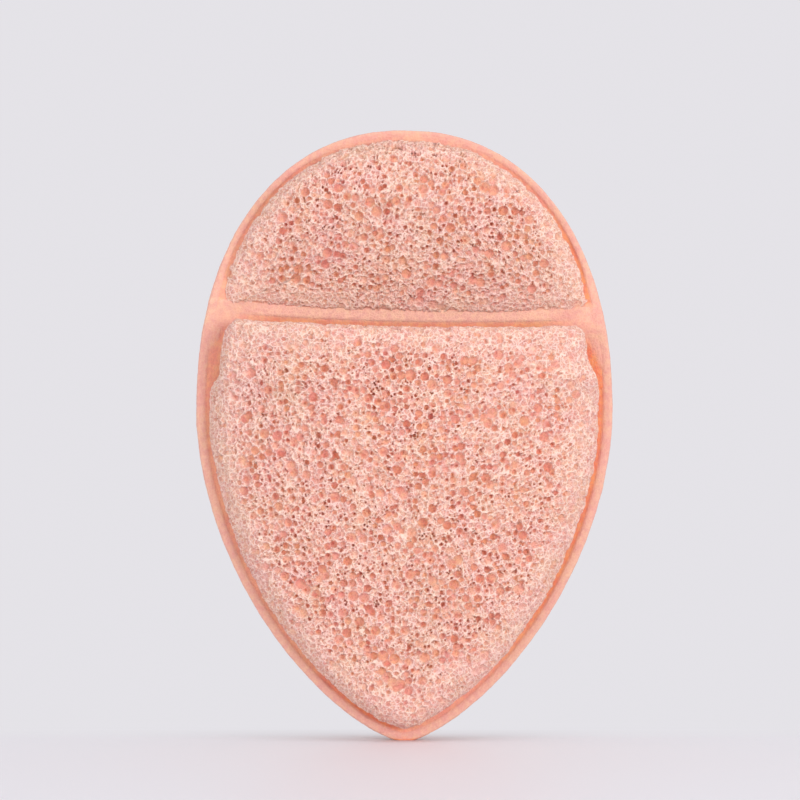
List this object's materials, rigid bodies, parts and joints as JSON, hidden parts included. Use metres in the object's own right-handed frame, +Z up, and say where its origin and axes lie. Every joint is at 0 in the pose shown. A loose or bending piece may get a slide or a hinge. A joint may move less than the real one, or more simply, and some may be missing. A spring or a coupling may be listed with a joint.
{
  "type": "facial cleansing glove",
  "caption": "Drop-shaped foam glove for washing the face, with a domed cleansing pad, a pressed rim, and a finger pocket behind it whose lip stands open below the hem of an upper flap.",
  "frame": {"origin": "under the middle of the glove's box, on the flat foot of its blunt tip", "axes": "+Z up along the drop from the blunt tip to the round top, +Y out of the cleansing face, -Y out of the pocket side, +X to the right seen from the pocket side"},
  "size_m": [0.0852, 0.026, 0.125],
  "materials": {
    "porous_foam": "open-cell foam in pale peach, with round pores from 0.4 to 2.5 mm that are coral inside; dull and soft",
    "pressed_foam": "the same foam pressed dense and smooth in peach, with a fine dull grain and a deeper coral crease"
  },
  "bodies": {
    "root": {"face_pad": "porous_foam", "pocket_pad": "porous_foam", "flap_pad": "porous_foam", "face_rim": "pressed_foam", "pocket_rim": "pressed_foam", "flap_rim": "pressed_foam", "flap_hem": "pressed_foam"}
  },
  "joints": []
}
